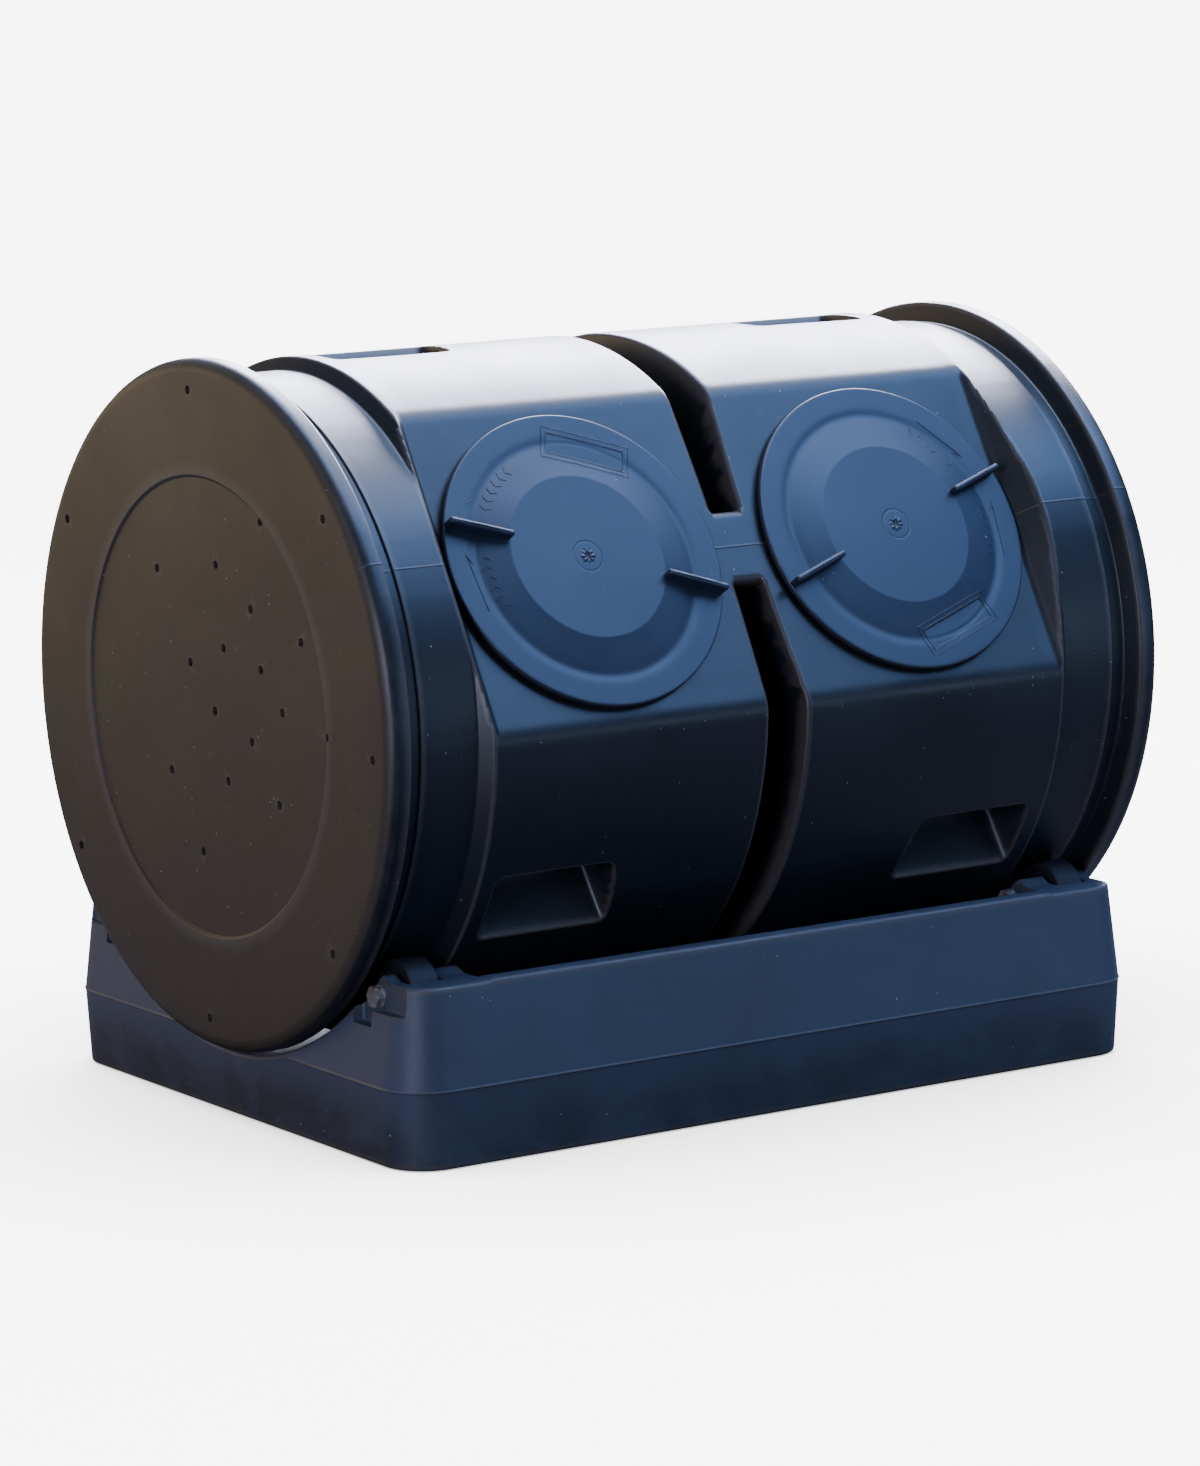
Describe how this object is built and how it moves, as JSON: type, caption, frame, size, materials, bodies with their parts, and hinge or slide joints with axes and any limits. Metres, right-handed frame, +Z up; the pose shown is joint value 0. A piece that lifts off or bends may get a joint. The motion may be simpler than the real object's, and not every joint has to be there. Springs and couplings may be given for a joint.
{
  "type": "compost tumbler",
  "caption": "Black plastic compost tumbler: twin-chamber drum with twist-off lids and hand pockets, rolling on a liquid-collecting base.",
  "frame": {"origin": "on the ground under the middle of the base", "axes": "+X along the drum's axis, the lids face -Y at rest, +Z up"},
  "size_m": [0.828, 0.61, 0.672],
  "materials": {
    "drum_plastic": "rotomoulded black polyethylene, satin, scuffed",
    "base_plastic": "moulded black polyethylene, satin",
    "lid_plastic": "injection-moulded black polypropylene, semi-gloss",
    "collar_plastic": "injection-moulded black polypropylene",
    "seal_rubber": "soft foam rubber",
    "roller_plastic": "hard grey-black nylon",
    "bush_metal": "sintered bronze, oiled",
    "zinc_steel": "zinc-plated, dulled",
    "stainless": "stainless steel",
    "drain_fitting": "black nylon"
  },
  "bodies": {
    "base": {"base_tank": "base_plastic", "head_washers": "zinc_steel", "nut_washers": "zinc_steel", "spacer_washers": "zinc_steel", "lock_nuts": "zinc_steel", "drain_spud": "drain_fitting", "axle_bolt_front_left": "zinc_steel", "axle_bolt_rear_left": "zinc_steel", "axle_bolt_front_right": "zinc_steel", "axle_bolt_rear_right": "zinc_steel"},
    "drum": {"drum_shell": "drum_plastic", "collar_left": "collar_plastic", "collar_right": "collar_plastic", "collar_screws_left": "stainless", "collar_screws_right": "stainless"},
    "drain_seal": {"drain_gasket": "seal_rubber"},
    "drain_plug": {"drain_plug": "drain_fitting"},
    "seal_left": {"lid_seal_left": "seal_rubber"},
    "lid_left": {"lid_left": "lid_plastic"},
    "roller_front_left": {"roller_front_left": "roller_plastic", "roller_bush_front_left": "bush_metal"},
    "roller_rear_left": {"roller_rear_left": "roller_plastic", "roller_bush_rear_left": "bush_metal"},
    "seal_right": {"lid_seal_right": "seal_rubber"},
    "lid_right": {"lid_right": "lid_plastic"},
    "roller_front_right": {"roller_front_right": "roller_plastic", "roller_bush_front_right": "bush_metal"},
    "roller_rear_right": {"roller_rear_right": "roller_plastic", "roller_bush_rear_right": "bush_metal"}
  },
  "joints": [
    {"name": "drum_roll", "type": "hinge", "parent": "base", "child": "drum", "pos_m": [0, 0, 0.367], "axis": [1, 0, 0], "continuous": true},
    {"name": "lid_left_lift", "type": "slide", "parent": "drum", "child": "seal_left", "axis": [0, -0.866, 0.5], "range_m": [0, 0.015]},
    {"name": "lid_left_twist", "type": "hinge", "parent": "seal_left", "child": "lid_left", "pos_m": [-0.166, -0.22473, 0.49675], "axis": [0, -0.866, 0.5], "range_deg": [0, 270]},
    {"name": "roller_front_left_spin", "type": "hinge", "parent": "base", "child": "roller_front_left", "pos_m": [-0.351, -0.22664, 0.1435], "axis": [1, 0, 0], "continuous": true},
    {"name": "roller_rear_left_spin", "type": "hinge", "parent": "base", "child": "roller_rear_left", "pos_m": [-0.351, 0.22664, 0.1435], "axis": [1, 0, 0], "continuous": true},
    {"name": "lid_right_lift", "type": "slide", "parent": "drum", "child": "seal_right", "axis": [0, -0.866, 0.5], "range_m": [0, 0.015]},
    {"name": "lid_right_twist", "type": "hinge", "parent": "seal_right", "child": "lid_right", "pos_m": [0.166, -0.22473, 0.49675], "axis": [0, -0.866, 0.5], "range_deg": [0, 270]},
    {"name": "roller_front_right_spin", "type": "hinge", "parent": "base", "child": "roller_front_right", "pos_m": [0.351, -0.22664, 0.1435], "axis": [1, 0, 0], "continuous": true},
    {"name": "roller_rear_right_spin", "type": "hinge", "parent": "base", "child": "roller_rear_right", "pos_m": [0.351, 0.22664, 0.1435], "axis": [1, 0, 0], "continuous": true},
    {"name": "drain_plug_lift", "type": "slide", "parent": "base", "child": "drain_seal", "axis": [1, 0, 0], "range_m": [0, 0.0188]},
    {"name": "drain_plug_twist", "type": "hinge", "parent": "drain_seal", "child": "drain_plug", "pos_m": [0.4, 0, 0.027], "axis": [1, 0, 0], "range_deg": [0, 2250]}
  ],
  "couplings": [
    {"joint": "lid_left_lift", "follows": "lid_left_twist", "m_per_rad": 0.00318},
    {"joint": "roller_front_left_spin", "follows": "drum_roll", "ratio": -9.6},
    {"joint": "roller_rear_left_spin", "follows": "drum_roll", "ratio": -9.6},
    {"joint": "lid_right_lift", "follows": "lid_right_twist", "m_per_rad": 0.00318},
    {"joint": "roller_front_right_spin", "follows": "drum_roll", "ratio": -9.6},
    {"joint": "roller_rear_right_spin", "follows": "drum_roll", "ratio": -9.6},
    {"joint": "drain_plug_lift", "follows": "drain_plug_twist", "m_per_rad": 0.000477}
  ]
}
